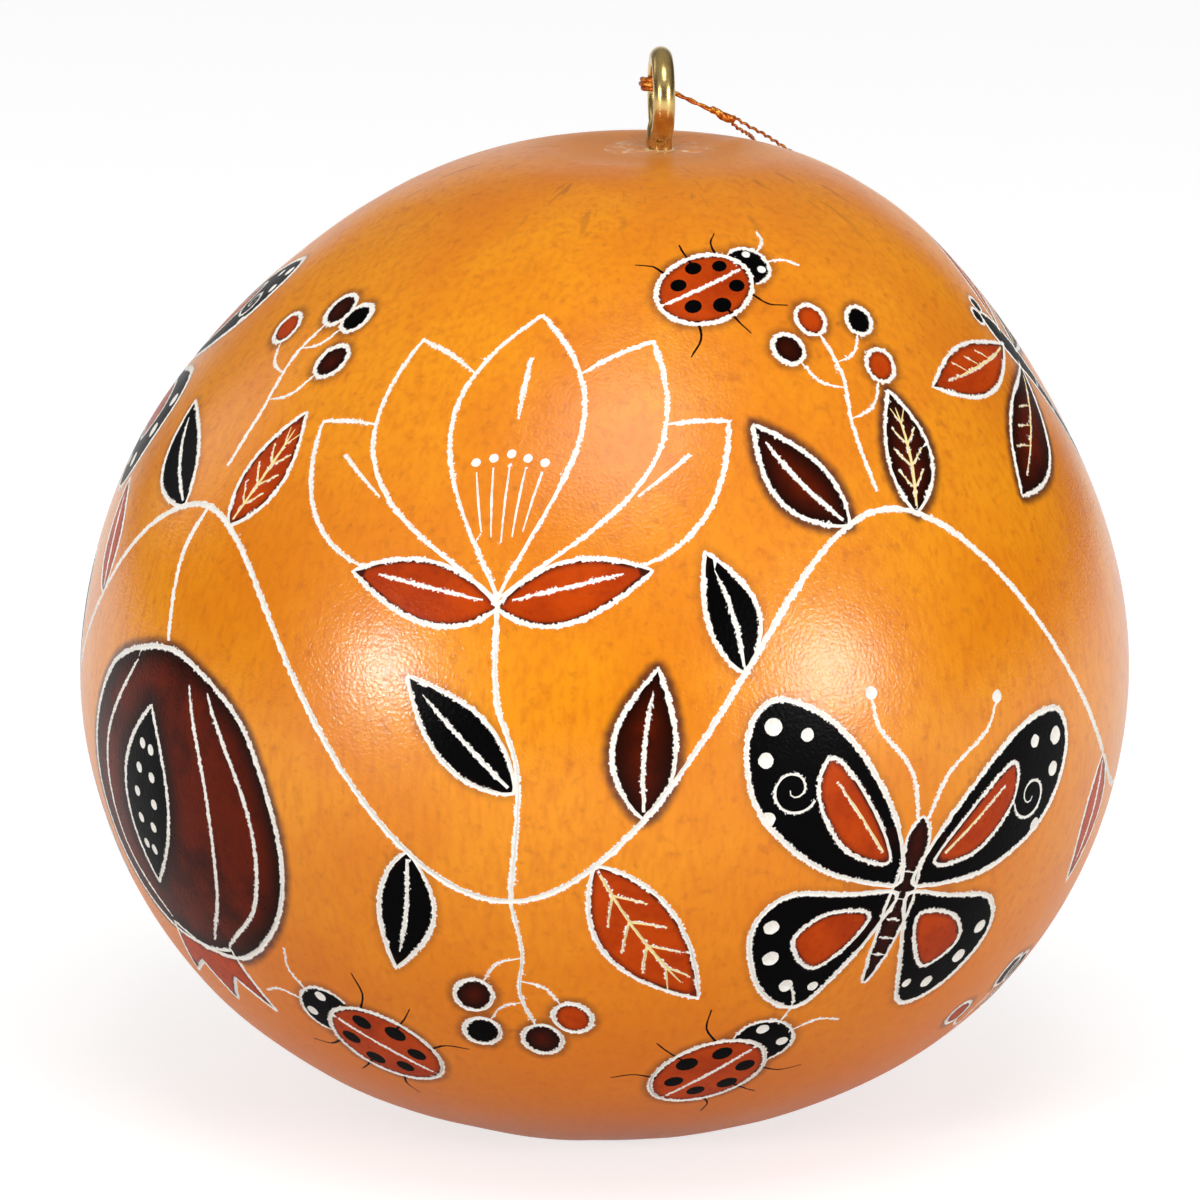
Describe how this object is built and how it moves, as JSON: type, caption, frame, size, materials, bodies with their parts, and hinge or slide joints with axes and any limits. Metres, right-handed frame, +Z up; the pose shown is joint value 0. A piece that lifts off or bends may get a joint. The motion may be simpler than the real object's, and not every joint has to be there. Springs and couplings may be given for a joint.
{
  "type": "carved gourd ornament",
  "caption": "Whole dried gourd, hollow and nearly round, carved and dyed all over, with a brass screw eye in its cut stem and a loop of gold thread to hang it by.",
  "frame": {"origin": "middle of the flat that the gourd rests on", "axes": "+Z up through the stem, -Y towards the front of the carving, +X to the right seen from the front"},
  "size_m": [0.08, 0.08, 0.0824],
  "materials": {
    "gourd_rind": "waxed, half gloss, carved and dyed",
    "stem_cork": "cut and sanded, matt",
    "brass_wire": "polished",
    "dried_glue": "dull, cloudy",
    "gold_thread": "metallic twisted thread",
    "dried_pith": "dry and spongy",
    "seed_coat": "dry, dull"
  },
  "bodies": {
    "gourd": {"gourd_shell": "gourd_rind", "stem_stub": "stem_cork", "screw_eye": "brass_wire", "glue_bead": "dried_glue", "pith_cake": "dried_pith", "seeds": "seed_coat"},
    "thread_loop": {"cord_bight": "gold_thread", "cord_knot": "gold_thread", "hanging_loop": "gold_thread"}
  },
  "joints": [
    {"name": "loop_swing", "type": "hinge", "parent": "gourd", "child": "thread_loop", "pos_m": [0.00381, 0.00278, 0.0786], "axis": [0.0851, 0.0845, 0.9928], "range_deg": [-80, 200]}
  ]
}
